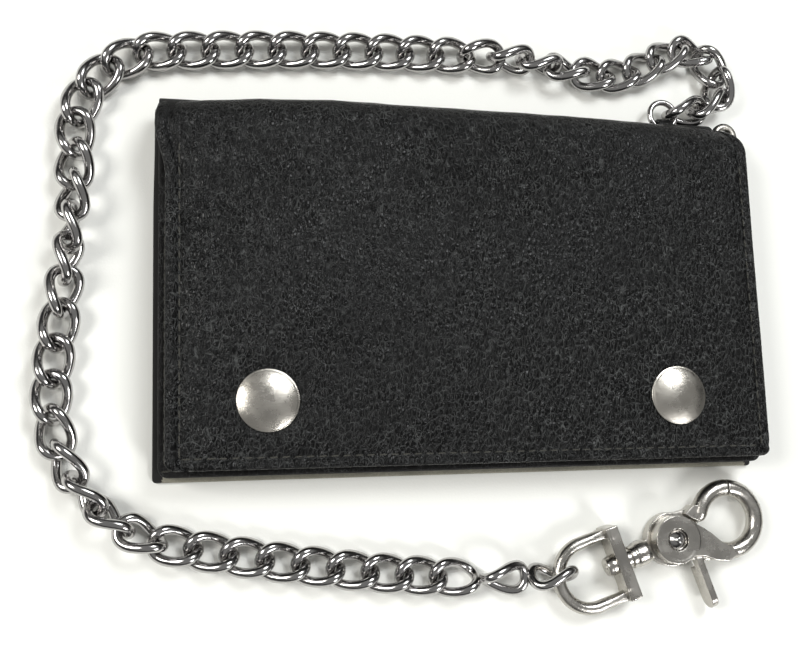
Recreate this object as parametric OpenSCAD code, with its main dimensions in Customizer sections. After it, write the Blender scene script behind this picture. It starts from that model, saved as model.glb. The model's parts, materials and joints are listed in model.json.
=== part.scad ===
// Chain wallet: a leather snap wallet lying closed on its back, with a curb chain laid
// round it and a swivel trigger hook on the chain's end.
// Origin: centre of the back face. +X to the right, +Y towards the fold, +Z up through the flap.

/* [Wallet] */
// Width of the wallet's back
wallet_w = 164; // [156:0.5:168]
// Height from the bottom edge to the back of the fold
wallet_h = 97.8; // [94:0.1:99]
// Thickness of the outer leather
leather_t = 1.4; // [1.2:0.1:1.6]
// How far the flap's left edge stands in from the back's
flap_inset_left = 2.9; // [0:0.1:5]
// How far the flap's right edge stands in from the back's
flap_inset_right = 1.4; // [0:0.1:5]
// How far the flap's bottom edge stands in from the back's
flap_inset_bottom = 1.9; // [0:0.1:5]
// Radius of the leather's corners
corner_r = 3; // [1:0.5:5]

/* [Pockets] */
// Thickness of the fabric linings
lining_t = 0.4; // [0.3:0.1:0.4]
// Thickness of the inner leather
inner_t = 0.9; // [0.8:0.1:0.9]
// Free height left for notes in each bill pocket
bill_gap = 0.6; // [0.5:0.1:0.6]
// Free height inside the coin pocket
coin_gap = 3; // [2.5:0.1:3]
// Thickness of the coin pocket's front leather
coin_front_t = 1.1; // [1:0.1:1.1]
// Thickness of a card slot's leather
slot_t = 0.5; // [0.4:0.1:0.5]
// How much lower each card slot stands than the one behind it
slot_step = 10; // [6:1:12]

/* [Snaps] */
// Radius of the domed snap caps
cap_r = 7.8; // [7:0.1:8.5]
// Height of the dome
cap_rise = 1.7; // [1:0.1:2.2]
// Distance from the middle of the wallet to each snap
snap_x = 54.5; // [45:0.5:60]
// Place of the snaps along Y
snap_y = -30.4; // [-34:0.1:-26]

/* [Chain] */
// Radius of the links' wire
wire_r = 1.15; // [1.05:0.05:1.15]
// Pitch of the chain when it is pulled tight
chain_pitch = 9; // [8.9:0.1:9.2]
// Half the width of a link, to the middle of its wire
link_half_w = 3.75; // [3.6:0.05:3.9]
// Twist of a link: how far its wire swings up and down
link_twist = 1.6; // [1.5:0.05:1.7]
// Flats round the wire
wire_sides = 7; // [6:1:8]
// Stations along a link
link_stations = 20; // [16:2:24]

/* [Hook] */
// Direction of the hook, from the swivel eye to the snap ring
hook_angle = 18.5; // [10:0.5:25]
// Sideways place of the trigger's pivot
hook_x = 55.2; // [55:0.05:55.4]
// Place of the trigger's pivot below the wallet's middle
hook_y = -68.7; // [-68.9:0.05:-68.6]
// Height of the hook's middle plane
hook_z = 3.9; // [3.8:0.05:4]
// Radius of the snap ring, to the middle of its wire
snap_ring_r = 8.5; // [8:0.1:9]
// Radius of the snap ring's wire
snap_wire_r = 2.3; // [2:0.1:2.4]
// Distance from the pivot to the snap ring's centre
snap_ring_x = 17.3; // [17:0.1:18.5]
// Width of the swivel eye, to the middle of its wire
eye_w = 17.2; // [16:0.1:19]
// Radius of the swivel eye's wire
eye_wire_r = 1.3; // [1.2:0.05:1.3]

/* [Hidden] */
$fn = 48;
eps = 0.01;

// Colours
black_leather = [0.09, 0.09, 0.1];
inner_leather = [0.14, 0.13, 0.13];
lining_cloth = [0.2, 0.2, 0.22];
nickel = [0.78, 0.78, 0.8];
clear_sheet = [0.8, 0.85, 0.9, 0.4];

// Layers of the back, from the table up
bill_lining_z = leather_t;
divider_z = bill_lining_z + lining_t + bill_gap;
coin_back_z = divider_z + inner_t + bill_gap;
gusset_z = coin_back_z + inner_t;
coin_front_z = gusset_z + coin_gap;
coin_top_z = coin_front_z + coin_front_t;

// Layers of the flap, from the outside down
closed_t = 14.2;
flap_z = closed_t - leather_t;
flap_lining_z = flap_z - lining_t;
panel_t = 0.6;
panel_z = flap_lining_z - panel_t;

// Outline of the wallet
back_x = wallet_w / 2;
back_y = wallet_h / 2;
fold_r = closed_t / 2;
fold_y = back_y - fold_r;
flap_x0 = -back_x + flap_inset_left;
flap_x1 = back_x - flap_inset_right;
flap_y0 = -back_y + flap_inset_bottom;
pocket_top = fold_y - 4.8;
inner_margin = 1.3;
inner_x = back_x - inner_margin;
inner_y0 = -back_y + 0.5;

// A flat sheet between two corners, with rounded corners
module sheet(x0, x1, y0, y1, t, r = corner_r) {
    linear_extrude(t)
        union() {
            translate([x0 + r, y0]) square([x1 - x0 - 2 * r, y1 - y0]);
            translate([x0, y0 + r]) square([x1 - x0, y1 - y0 - 2 * r]);
            for (x = [x0 + r, x1 - r], y = [y0 + r, y1 - r])
                translate([x, y]) circle(r);
        }
}

// The same thing at both snaps
module at_snaps() {
    for (side = [-1, 1])
        translate([side * snap_x, snap_y, 0]) children();
}

// ---- Back of the wallet ----

module outer_back() {
    color(black_leather) sheet(-back_x, back_x, -back_y, fold_y, leather_t, 2);
}

// The leather that lines the fold is a half ring, open where the chain's loop comes out
lining_r = flap_z - fold_r - 0.3;
fold_lining_x1 = back_x - 9.5;
module fold_lining() {
    color(inner_leather)
        difference() {
            translate([-inner_x, fold_y, fold_r])
                rotate([0, 90, 0]) cylinder(r = lining_r, h = inner_x + fold_lining_x1);
            translate([-back_x, fold_y, fold_r])
                rotate([0, 90, 0]) cylinder(r = lining_r - 1.3, h = wallet_w);
            translate([-back_x - 1, fold_y - 2 * fold_r, 0])
                cube([wallet_w + 2, 2 * fold_r, closed_t]);
            translate([tab_x - tab_w / 2 - 0.2, fold_y - 1, 0])
                cube([tab_w + 0.4, 2 * fold_r, knuckle_z + knuckle_r + 0.3]);
        }
}

module bill_lining() {
    color(lining_cloth)
        translate([0, 0, bill_lining_z]) sheet(-inner_x, inner_x, inner_y0, pocket_top, lining_t);
}

module bill_divider() {
    color(inner_leather)
        translate([0, 0, divider_z]) sheet(-inner_x, inner_x, inner_y0, pocket_top, inner_t);
}

module coin_back() {
    color(inner_leather)
        translate([0, 0, coin_back_z]) sheet(-inner_x, inner_x, inner_y0, pocket_top, inner_t);
}

// The gusset closes the coin pocket's bottom and sides
gusset_w = 2.2;
module coin_gusset() {
    color(inner_leather)
        translate([0, 0, gusset_z])
            difference() {
                sheet(-inner_x, inner_x, inner_y0, pocket_top, coin_gap);
                translate([-inner_x + gusset_w, inner_y0 + gusset_w, -1])
                    cube([2 * (inner_x - gusset_w), wallet_h, coin_gap + 2]);
            }
}

// The zip lies in a gap across the coin pocket's front
zip_y = 19.3;
zip_gap = 6.6;
module coin_front() {
    color(inner_leather)
        translate([0, 0, coin_front_z])
            difference() {
                sheet(-inner_x, inner_x, inner_y0, zip_y - zip_gap / 2, coin_front_t, 1.5);
                at_snaps() translate([0, 0, -1]) cylinder(r = rivet_r + 0.05, h = 4);
            }
}

module coin_top_band() {
    color(inner_leather)
        translate([0, 0, coin_front_z])
            sheet(-inner_x, inner_x, zip_y + zip_gap / 2, pocket_top, coin_front_t, 1.5);
}

// ---- Zip ----

zip_half = 72;
tape_t = 0.5;
tape_half_w = 8;
tooth_h = 1.3;
tooth_w = 2.6;
tooth_l = 1.5;
tooth_pitch = 3;
module zip_tape() {
    color(lining_cloth)
        translate([0, zip_y, coin_front_z - tape_t])
            sheet(-zip_half - 4, zip_half + 4, -tape_half_w, tape_half_w, tape_t, 1);
}

// Teeth from the two sides sit half a pitch apart
module zip_teeth() {
    color(nickel)
        for (side = [0, 1], k = [0 : floor(2 * zip_half / tooth_pitch) - 1])
            translate([-zip_half + (k + side / 2) * tooth_pitch, zip_y - tooth_w * (1 - side), coin_front_z])
                cube([tooth_l - 0.1, tooth_w - 0.05, tooth_h]);
}

module zip_stops() {
    color(nickel)
        for (x = [-zip_half - 2.4, zip_half + 1.2])
            translate([x, zip_y - 2.4, coin_front_z]) cube([1.8, 4.8, tooth_h]);
}

// The slider is a channel over the teeth with a lug for the pull
slider_x = -zip_half + 4.5;
slider_l = 8;
slider_w = 6.2;
slider_z = coin_top_z + 0.25;
lug_r = 1.1;
lug_x = slider_x + 2.2;
module zip_slider() {
    color(nickel) {
        difference() {
            translate([slider_x - slider_l / 2, zip_y - slider_w / 2, coin_front_z + 0.3])
                cube([slider_l, slider_w, slider_z + 0.5 - coin_front_z - 0.3]);
            translate([slider_x - slider_l, zip_y - slider_w / 2 + 0.4, coin_front_z - 1])
                cube([2 * slider_l, slider_w - 0.8, slider_z - coin_front_z + 1]);
        }
        translate([lug_x, zip_y, slider_z + 0.5 - eps]) cylinder(r = lug_r, h = 0.35 + eps);
    }
}

// The pull turns on the lug and lies flat on the slider
module zip_pull() {
    color(nickel)
        translate([lug_x, zip_y, slider_z + 0.55])
            difference() {
                linear_extrude(0.3)
                    union() {
                        circle(2.3);
                        translate([0, -1.5]) square([17, 3]);
                        translate([17, 0]) circle(2.6);
                    }
                translate([0, 0, -1]) cylinder(r = lug_r + 0.08, h = 3);
                translate([17, 0, -1]) cylinder(r = 1.1, h = 3);
            }
}

// ---- Snaps ----

rivet_r = 1.6;
stud_r = 5.5;
stud_t = 0.5;
knob_r = 2.2;
socket_r = 6;
socket_h = 2.1;
module snap_studs() {
    color(nickel)
        at_snaps()
            translate([0, 0, coin_top_z]) {
                cylinder(r = stud_r, h = stud_t);
                translate([0, 0, stud_t - eps]) cylinder(r = knob_r - 0.3, h = 0.8 + eps);
                translate([0, 0, stud_t + 0.8 - eps]) cylinder(r = knob_r, h = 0.9);
            }
}

module snap_rivets() {
    color(nickel)
        at_snaps() {
            translate([0, 0, coin_front_z - 0.5]) cylinder(r = 4.5, h = 0.5);
            translate([0, 0, coin_front_z - eps]) cylinder(r = rivet_r, h = coin_front_t + eps);
        }
}

cap_ball = (cap_r * cap_r + cap_rise * cap_rise) / (2 * cap_rise);
cap_post_r = 1.9;
module snap_caps() {
    color(nickel)
        at_snaps() {
            intersection() {
                translate([0, 0, closed_t + cap_rise - cap_ball]) sphere(cap_ball, $fn = 96);
                translate([0, 0, closed_t]) cylinder(r = cap_r, h = cap_rise + 1);
            }
            translate([0, 0, flap_lining_z - 0.4])
                cylinder(r = cap_post_r, h = closed_t - flap_lining_z + 0.4 + eps);
        }
}

module snap_sockets() {
    color(nickel)
        at_snaps()
            translate([0, 0, flap_lining_z - socket_h])
                difference() {
                    cylinder(r = socket_r, h = socket_h);
                    translate([0, 0, -1]) cylinder(r = knob_r + 0.35, h = socket_h + 0.6);
                    translate([0, 0, -1]) cylinder(r = cap_post_r + 0.05, h = socket_h + 2);
                }
}

// ---- Flap ----

fold_relief = 5;
module outer_flap() {
    color(black_leather)
        difference() {
            translate([0, 0, flap_z]) sheet(flap_x0, flap_x1, flap_y0, fold_y, leather_t);
            at_snaps() cylinder(r = cap_post_r + 0.05, h = closed_t + 1);
            // The fold's edge stands back where it swings past the ring, the chain and the corner tab
            translate([tab_x - 5, fold_y - fold_relief, 0]) cube([wallet_w, 2 * fold_relief, closed_t + 1]);
        }
}

flap_in_x0 = flap_x0 + 1.5;
flap_in_x1 = flap_x1 - 1.5;
flap_in_y0 = flap_y0 + 1.5;
module flap_lining() {
    color(lining_cloth)
        difference() {
            translate([0, 0, flap_lining_z]) sheet(flap_in_x0, flap_in_x1, flap_in_y0, fold_y - 5.5, lining_t);
            at_snaps() cylinder(r = cap_post_r + 0.05, h = closed_t);
        }
}

// The card pocket fills the left of the flap and the window pocket the right
card_x1 = 14;
card_y0 = -22;
card_y1 = fold_y - 6.5;
module card_panel() {
    color(inner_leather)
        translate([0, 0, panel_z]) sheet(flap_in_x0 + 1, flap_in_x1 - 1, card_y0, card_y1, panel_t, 2);
}

module card_slot(row) {
    color(inner_leather)
        translate([0, 0, panel_z - row * slot_t])
            sheet(flap_in_x0 + 1, card_x1, card_y0, card_y1 - row * slot_step, slot_t, 1.5);
}

module card_slot_1() {
    card_slot(1);
}

module card_slot_2() {
    card_slot(2);
}

module card_slot_3() {
    card_slot(3);
}

window_x0 = card_x1 + 1.5;
window_x1 = flap_in_x1 - 1;
window_rim = 6;
frame_t = 0.8;
module window_frame() {
    color(inner_leather)
        translate([0, 0, panel_z - 0.3 - frame_t])
            difference() {
                sheet(window_x0, window_x1, card_y0, card_y1 - 4, frame_t, 2);
                translate([0, 0, -1])
                    sheet(window_x0 + window_rim, window_x1 - window_rim,
                        card_y0 + window_rim, card_y1 - 4 - window_rim, frame_t + 2, 4);
            }
}

module id_window() {
    color(clear_sheet)
        translate([0, 0, panel_z - 0.3])
            sheet(window_x0 + 1.5, window_x1 - 1.5, card_y0 + 1.5, card_y1 - 5.5, 0.25, 1);
}

// ---- Corner eyelet and the chain's leather loop ----

// A round-ended tongue of leather shows at the open end of the fold
corner_tab_x = 77.2;
corner_tab_y = 44;
corner_tab_z = 8.3;
corner_tab_r = 3.8;
corner_tab_t = 1.2;
eyelet_flange_r = 3.35;
eyelet_bore_r = 2;
module corner_tab() {
    color(black_leather)
        translate([0, 0, corner_tab_z])
            difference() {
                union() {
                    translate([corner_tab_x, corner_tab_y, 0]) cylinder(r = corner_tab_r, h = corner_tab_t);
                    translate([60, 39.6, 0]) cube([corner_tab_x - 60, 5, corner_tab_t]);
                }
                translate([corner_tab_x, corner_tab_y, -1]) cylinder(r = eyelet_bore_r + 0.45, h = 4);
            }
}

module corner_eyelet() {
    flange_t = 0.3;
    color(nickel)
        translate([corner_tab_x, corner_tab_y, corner_tab_z - flange_t])
            difference() {
                union() {
                    cylinder(r = eyelet_flange_r, h = flange_t);
                    cylinder(r = eyelet_bore_r + 0.4, h = corner_tab_t + 2 * flange_t);
                    translate([0, 0, corner_tab_t + flange_t]) cylinder(r = eyelet_flange_r, h = flange_t);
                }
                translate([0, 0, -1]) cylinder(r = eyelet_bore_r, h = 4);
            }
}

// A leather loop comes out below the fold and holds the ring
tab_x = 60.9;
tab_w = 4.4;
tab_t = 1.2;
knuckle_y = fold_y + 5.8;
knuckle_z = 4.2;
knuckle_r = 2.35;
knuckle_bore_r = 1.4;
module chain_tab() {
    color(black_leather)
        difference() {
            union() {
                translate([tab_x - tab_w / 2, knuckle_y, knuckle_z])
                    rotate([0, 90, 0]) cylinder(r = knuckle_r, h = tab_w);
                translate([tab_x - tab_w / 2, pocket_top + 0.2, leather_t])
                    cube([tab_w, knuckle_y - pocket_top - 0.2, tab_t]);
            }
            translate([tab_x - tab_w, knuckle_y, knuckle_z])
                rotate([0, 90, 0]) cylinder(r = knuckle_bore_r, h = 2 * tab_w);
        }
}

ring_r = 3.9;
ring_wire_r = 0.85;
ring_x = tab_x;
ring_y = knuckle_y + ring_r - 0.3;
module wallet_ring() {
    color(nickel)
        translate([ring_x, ring_y, knuckle_z])
            rotate_extrude()
                translate([ring_r, 0]) circle(ring_wire_r, $fn = 24);
}

// ---- Chain ----

// How the chain lies: each row is a number of links, the turn and the roll from one link
// to the next in degrees, and the slack that is left in each joint
chain_runs = [
    [1, 0, 0, 0.8], [1, 19, -31, 1.1], [1, 55.3, -39, 1.6], [1, 40.8, -30, 1.6],
    [1, 42.9, -39, 1.3], [1, 40.6, -3, 0.6], [1, 0.7, 9, 0.4], [1, -17, 6, 0.6],
    [1, -15.3, -1, 1], [1, -3.8, -32, 0.5], [4, 2, -32, 0.6], [9, 0.6, 0, 0.2],
    [4, 21.3, 0, 0.4], [6, -1.5, -30, 0.8], [2, 3.9, 0, 0.1], [6, 13, -30, 0.5],
    [8, 0.9, 0, 0.1], [3, 2.5, -38, 0.3]
];
chain_heading = 9;
first_roll = -60;
steps = [for (run = chain_runs) for (k = [1 : run[0]]) [run[1], run[2], run[3]]];
link_count = len(steps);
link_half_l = chain_pitch / 2 + wire_r + 0.1;
ring_to_link = 1.4 + link_half_l;

// Running sums along the chain of the headings, the rolls and the places of the links
headings = [
    for (i = 0, a = chain_heading; i < link_count; i = i + 1, a = a + (i < link_count ? steps[i][0] : 0)) a
];
rolls = [
    for (i = 0, a = first_roll; i < link_count; i = i + 1, a = a + (i < link_count ? steps[i][1] : 0)) a
];
function way(a) = [cos(a), sin(a)];
function step_to(i) =
    i < link_count ? (chain_pitch - steps[i][2]) / 2 * (way(headings[i - 1]) + way(headings[i])) : [0, 0];
places = [
    for (i = 0, p = [ring_x, ring_y] + ring_to_link * way(chain_heading);
        i < link_count;
        i = i + 1, p = p + step_to(i)) p
];

// A rolled link rests on the table by its lowest point
function lowest(roll) =
    max([for (t = [0 : 5 : 360]) abs(link_half_w * sin(t) * sin(roll) + link_twist * sin(2 * t) * cos(roll))]);

// Middle of the wire of one link, and its direction, at the angle t round the link
function wire_at(t) = [link_half_l * cos(t), link_half_w * sin(t), link_twist * sin(2 * t)];
function wire_way(t) = [-link_half_l * sin(t), link_half_w * cos(t), 2 * link_twist * cos(2 * t)];
function unit(v) = v / norm(v);
function wire_skin(t, a) =
    let (side = unit(cross(wire_way(t), [0, 0, 1])), up = unit(cross(side, wire_way(t))))
    wire_at(t) + wire_r * (cos(a) * side + sin(a) * up);

// One link is a round wire bent to an oval and twisted so that it lies flat in the chain
module link() {
    skin = [
        for (i = [0 : link_stations - 1], j = [0 : wire_sides - 1])
            wire_skin(360 * i / link_stations, 360 * j / wire_sides)
    ];
    faces = [
        for (i = [0 : link_stations - 1], j = [0 : wire_sides - 1])
            let (i2 = (i + 1) % link_stations, j2 = (j + 1) % wire_sides)
            each [
                [i * wire_sides + j, i2 * wire_sides + j, i2 * wire_sides + j2],
                [i * wire_sides + j, i2 * wire_sides + j2, i * wire_sides + j2]
            ]
    ];
    polyhedron(skin, faces);
}

module placed_link(i) {
    translate([places[i][0], places[i][1], wire_r + lowest(rolls[i])])
        rotate([0, 0, headings[i]])
            rotate([rolls[i], 0, 0]) link();
}

// The first part of the chain holds the links of the sharp bend, the others three links each
first_part_links = 7;
part_links = 3;
chain_parts = 16;
function part_first(k) = k == 0 ? 0 : first_part_links + (k - 1) * part_links;
module chain_part(k) {
    color(nickel)
        for (i = [part_first(k) : part_first(k + 1) - 1])
            placed_link(i);
}

// ---- Hook ----

module in_hook() {
    translate([hook_x, hook_y, 0])
        rotate([0, 0, hook_angle]) children();
}

// The swivel eye is a D of wire closed by a flat bar with a hole for the post
eye_bar_x = -16.4;
eye_bar_t = 2.6;
eye_bar_h = 7;
eye_arm_x = -26;
post_r = 1.9;
post_clear = 0.08;
module swivel_eye() {
    half = eye_w / 2;
    color(nickel)
        in_hook()
            difference() {
                union() {
                    translate([eye_arm_x, 0, hook_z])
                        rotate([0, 0, 90])
                            rotate_extrude(angle = 180)
                                translate([half, 0]) circle(eye_wire_r, $fn = 24);
                    for (side = [-1, 1])
                        translate([eye_arm_x - eps, side * half, hook_z])
                            rotate([0, 90, 0]) cylinder(r = eye_wire_r, h = eye_bar_x - eye_arm_x + eps, $fn = 24);
                    translate([eye_bar_x - eye_bar_t / 2, -half - eye_wire_r, hook_z - eye_bar_h / 2])
                        cube([eye_bar_t, 2 * (half + eye_wire_r), eye_bar_h]);
                }
                translate([eye_bar_x - 5, 0, hook_z])
                    rotate([0, 90, 0]) cylinder(r = post_r + post_clear, h = 10);
            }
}

base_r = 7.2;
base_z0 = 0.5;
base_z1 = 3.5;
jaw_z0 = 3.65;
jaw_z1 = 7.5;
collar_r = 3;
snap_ring_y = -0.7;
upper_jaw_start = 71;
upper_jaw_end = 150;
jaw_end_x = snap_ring_x + snap_ring_r * cos(upper_jaw_end);
jaw_end_y = snap_ring_y + snap_ring_r * sin(upper_jaw_end);
rivet_shaft_r = 1.5;
module hook_body() {
    color(nickel)
        in_hook()
            difference() {
                union() {
                    // Base disc with an arm to the fixed jaw
                    translate([0, 0, base_z0]) cylinder(r = base_r, h = base_z1 - base_z0);
                    translate([0, 0, base_z0 + 0.7])
                        linear_extrude(base_z1 - base_z0 - 0.7)
                            polygon([[0, base_r - 0.6], [jaw_end_x - 1, jaw_end_y + 2.2],
                                [jaw_end_x + 1, jaw_end_y], [jaw_end_x - 0.6, jaw_end_y - 2.2], [3, -1]]);
                    // Fixed jaw
                    translate([snap_ring_x, snap_ring_y, hook_z])
                        rotate([0, 0, upper_jaw_start])
                            rotate_extrude(angle = upper_jaw_end - upper_jaw_start)
                                translate([snap_ring_r, 0]) circle(snap_wire_r, $fn = 32);
                    translate([jaw_end_x, jaw_end_y, hook_z]) sphere(snap_wire_r - 0.1, $fn = 32);
                    // Collar, neck and the post's head inside the eye
                    translate([-13.6, 0, hook_z]) rotate([0, 90, 0]) cylinder(r = collar_r, h = 5.6);
                    translate([-9.5, 0.4 - collar_r, base_z0]) cube([5, 2 * collar_r - 0.8, base_z1 - base_z0]);
                    translate([eye_bar_x + eye_bar_t / 2 + 0.15, 0, hook_z])
                        rotate([0, 90, 0]) cylinder(r = 2.5, h = 2.5);
                    translate([-19.4, 0, hook_z]) rotate([0, 90, 0]) cylinder(r = post_r, h = 8);
                    translate([-19.6, 0, hook_z]) rotate([0, 90, 0]) cylinder(r = 2.7, h = 1.7);
                    translate([-19.6, 0, hook_z])
                        intersection() {
                            sphere(2.6, $fn = 32);
                            translate([-5, -5, -5]) cube([5 + eps, 10, 10]);
                        }
                }
                translate([0, 0, -1]) cylinder(r = rivet_shaft_r, h = 12);
            }
}

jaw_disc_r = 6.4;
lower_jaw_start = 202;
lower_jaw_end = 429.3;
lever_x = 4.3;
lever_t = 1.9;
lever_y0 = -21;
spring_pocket_r = 4.4;
spring_pocket_h = 1.5;
module trigger_jaw() {
    color(nickel)
        in_hook()
            difference() {
                union() {
                    translate([0, 0, jaw_z0]) cylinder(r = jaw_disc_r, h = jaw_z1 - jaw_z0);
                    translate([0, 0, jaw_z0])
                        linear_extrude(jaw_z1 - jaw_z0 - 1.1)
                            polygon([[1, -6], [6.1, 1.2], [9.4, -1.4], [11.4, -3.6], [13.4, -6.9],
                                [14.6, -9.8], [11, -10.2], [7.4, -8.6], [5.4, -8]]);
                    translate([snap_ring_x, snap_ring_y, hook_z])
                        rotate([0, 0, lower_jaw_start])
                            rotate_extrude(angle = lower_jaw_end - lower_jaw_start)
                                translate([snap_ring_r, 0]) circle(snap_wire_r, $fn = 32);
                    // Thumb lever, a plate that stands on its edge
                    translate([lever_x - lever_t / 2, lever_y0 + 2.6, jaw_z0])
                        cube([lever_t, -lever_y0 - 2.6 - 5.4, jaw_z1 - jaw_z0 - 0.8]);
                    translate([lever_x - lever_t / 2, lever_y0 + 3, hook_z])
                        rotate([0, 90, 0]) cylinder(r = 2.8, h = lever_t);
                    translate([lever_x - lever_t / 2, lever_y0 + 3, hook_z - 2.8])
                        cube([lever_t, 8.5, 5.4]);
                }
                translate([0, 0, -1]) cylinder(r = rivet_shaft_r + 0.05, h = 12);
                translate([0, 0, -1]) cylinder(r = spring_pocket_r, h = jaw_z0 + spring_pocket_h + 1);
                translate([0, 0, jaw_z1 - 1]) cylinder(r = 2.9, h = 2);
            }
}

module pivot_rivet() {
    head_r = 2.5;
    color(nickel)
        in_hook() {
            translate([0, 0, base_z0]) cylinder(r = rivet_shaft_r, h = jaw_z1 - 0.9 - base_z0);
            translate([0, 0, jaw_z1 - 0.92])
                intersection() {
                    cylinder(r = head_r, h = 2);
                    translate([0, 0, -1.2]) sphere(2.9, $fn = 48);
                }
        }
}

// Two turns of spring wire in the pocket under the jaw's disc
module trigger_spring() {
    spring_r = 3.4;
    spring_wire_r = 0.3;
    color(nickel)
        in_hook()
            for (turn = [0, 1])
                translate([0, 0, base_z1 + 0.35 + turn * 0.62])
                    rotate_extrude()
                        translate([spring_r, 0]) circle(spring_wire_r, $fn = 16);
}

outer_back();
fold_lining();
bill_lining();
bill_divider();
coin_back();
coin_gusset();
coin_front();
coin_top_band();
zip_tape();
zip_teeth();
zip_stops();
zip_slider();
zip_pull();
snap_studs();
snap_rivets();
corner_tab();
corner_eyelet();
chain_tab();
wallet_ring();
outer_flap();
flap_lining();
card_panel();
card_slot_1();
card_slot_2();
card_slot_3();
window_frame();
id_window();
snap_caps();
snap_sockets();
chain_part(0);  // chain_01
chain_part(1);  // chain_02
chain_part(2);  // chain_03
chain_part(3);  // chain_04
chain_part(4);  // chain_05
chain_part(5);  // chain_06
chain_part(6);  // chain_07
chain_part(7);  // chain_08
chain_part(8);  // chain_09
chain_part(9);  // chain_10
chain_part(10);  // chain_11
chain_part(11);  // chain_12
chain_part(12);  // chain_13
chain_part(13);  // chain_14
chain_part(14);  // chain_15
chain_part(15);  // chain_16
swivel_eye();
hook_body();
trigger_jaw();
pivot_rivet();
trigger_spring();
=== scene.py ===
import json
import math
import random

import bmesh
import bpy
import numpy as np
from mathutils import Matrix, Vector


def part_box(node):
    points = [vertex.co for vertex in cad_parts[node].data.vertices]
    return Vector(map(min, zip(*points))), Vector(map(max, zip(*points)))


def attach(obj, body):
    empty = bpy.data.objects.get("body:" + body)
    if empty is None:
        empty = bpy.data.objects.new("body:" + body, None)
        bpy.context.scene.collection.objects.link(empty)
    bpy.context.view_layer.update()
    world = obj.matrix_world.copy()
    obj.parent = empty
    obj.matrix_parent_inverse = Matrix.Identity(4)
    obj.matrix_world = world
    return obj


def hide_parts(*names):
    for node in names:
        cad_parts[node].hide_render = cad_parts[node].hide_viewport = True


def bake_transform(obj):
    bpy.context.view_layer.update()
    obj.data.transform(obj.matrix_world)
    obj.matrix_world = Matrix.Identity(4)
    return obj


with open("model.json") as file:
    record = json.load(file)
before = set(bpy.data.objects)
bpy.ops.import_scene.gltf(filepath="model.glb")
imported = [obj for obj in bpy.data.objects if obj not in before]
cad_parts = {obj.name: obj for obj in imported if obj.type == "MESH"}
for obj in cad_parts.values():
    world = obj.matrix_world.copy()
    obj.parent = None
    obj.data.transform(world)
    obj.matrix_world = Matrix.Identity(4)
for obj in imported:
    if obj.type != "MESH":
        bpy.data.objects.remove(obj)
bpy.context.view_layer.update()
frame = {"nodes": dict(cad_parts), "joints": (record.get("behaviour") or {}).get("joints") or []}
MM = 0.001
# CAD triangles closer than this share their corners
WELD_GAP = 0.000002


# ---------------------------------------------------------------- small helpers

def add(tree, kind, inputs=None, **settings):
    """A node with its settings and inputs; an input is a value or another node's socket."""
    made = tree.nodes.new(kind)
    for key, value in settings.items():
        setattr(made, key, value)
    for key, value in (inputs or {}).items():
        if isinstance(value, bpy.types.NodeSocket):
            tree.links.new(value, made.inputs[key])
        else:
            made.inputs[key].default_value = value
    return made


def maths(tree, operation, a, b=0.0, c=0.0):
    return add(tree, "ShaderNodeMath", {0: a, 1: b, 2: c}, operation=operation).outputs[0]


def mesh_piece(name, verts, faces, materials, smooth=True):
    """A new object at the origin; verts are in metres in the frame."""
    mesh = bpy.data.meshes.new(name)
    mesh.from_pydata([tuple(v) for v in verts], [], [tuple(f) for f in faces])
    mesh.validate()
    for material in materials:
        mesh.materials.append(material)
    if smooth:
        mesh.shade_smooth()
    piece = bpy.data.objects.new(name, mesh)
    bpy.context.collection.objects.link(piece)
    return piece


def baked(piece, name):
    """The piece with its modifiers applied, as a plain mesh object."""
    bpy.context.view_layer.update()
    graph = bpy.context.evaluated_depsgraph_get()
    mesh = bpy.data.meshes.new_from_object(piece.evaluated_get(graph))
    mesh.name = name
    bpy.data.objects.remove(piece)
    made = bpy.data.objects.new(name, mesh)
    bpy.context.collection.objects.link(made)
    return made


def smoothstep(low, high, x):
    t = np.clip((x - low) / (high - low), 0, 1)
    return t * t * (3 - 2 * t)


def bell(x, width):
    return np.exp(-((x / width) ** 2))


def ripple(x, y, scale, seed):
    """A smooth wandering height between about -1 and 1."""
    rng = random.Random(seed)
    total = np.zeros_like(np.asarray(x, float))
    for _ in range(5):
        angle = rng.uniform(0, 2 * math.pi)
        k = 2 * math.pi / (scale * rng.uniform(0.6, 1.7))
        total = total + np.sin(k * (np.cos(angle) * x + np.sin(angle) * y) + rng.uniform(0, 6.28))
    return total / 3.2


# ---------------------------------------------------------------- materials

def shade(tint, factor):
    """The tint made darker or lighter by a factor."""
    return tuple(min(1.0, c * factor) for c in tint)


def new_material(name, color, roughness, metallic=0.0, **sockets):
    material = bpy.data.materials.new(name)
    material.use_nodes = True
    tree = material.node_tree
    shader = tree.nodes["Principled BSDF"]
    shader.inputs["Base Color"].default_value = (*color, 1)
    shader.inputs["Roughness"].default_value = roughness
    shader.inputs["Metallic"].default_value = metallic
    for key, value in sockets.items():
        shader.inputs[key.replace("_", " ")].default_value = value
    return material, tree, shader


def place_of(tree):
    return add(tree, "ShaderNodeTexCoord").outputs["Object"]


def noise(tree, place, scale, detail=4.0, roughness=0.55, distortion=0.0):
    return add(tree, "ShaderNodeTexNoise", {
        "Vector": place, "Scale": scale, "Detail": detail,
        "Roughness": roughness, "Distortion": distortion})


def ramp(tree, value, low, high, to_low=0.0, to_high=1.0):
    return add(tree, "ShaderNodeMapRange", {
        "Value": value, "From Min": low, "From Max": high,
        "To Min": to_low, "To Max": to_high}).outputs[0]


def mix_colors(tree, share, a, b):
    mixed = add(tree, "ShaderNodeMix", {"Factor": share}, data_type="RGBA")
    for index, color in ((6, a), (7, b)):
        if isinstance(color, bpy.types.NodeSocket):
            tree.links.new(color, mixed.inputs[index])
        else:
            mixed.inputs[index].default_value = (*color, 1)
    return mixed.outputs[2]


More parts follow.
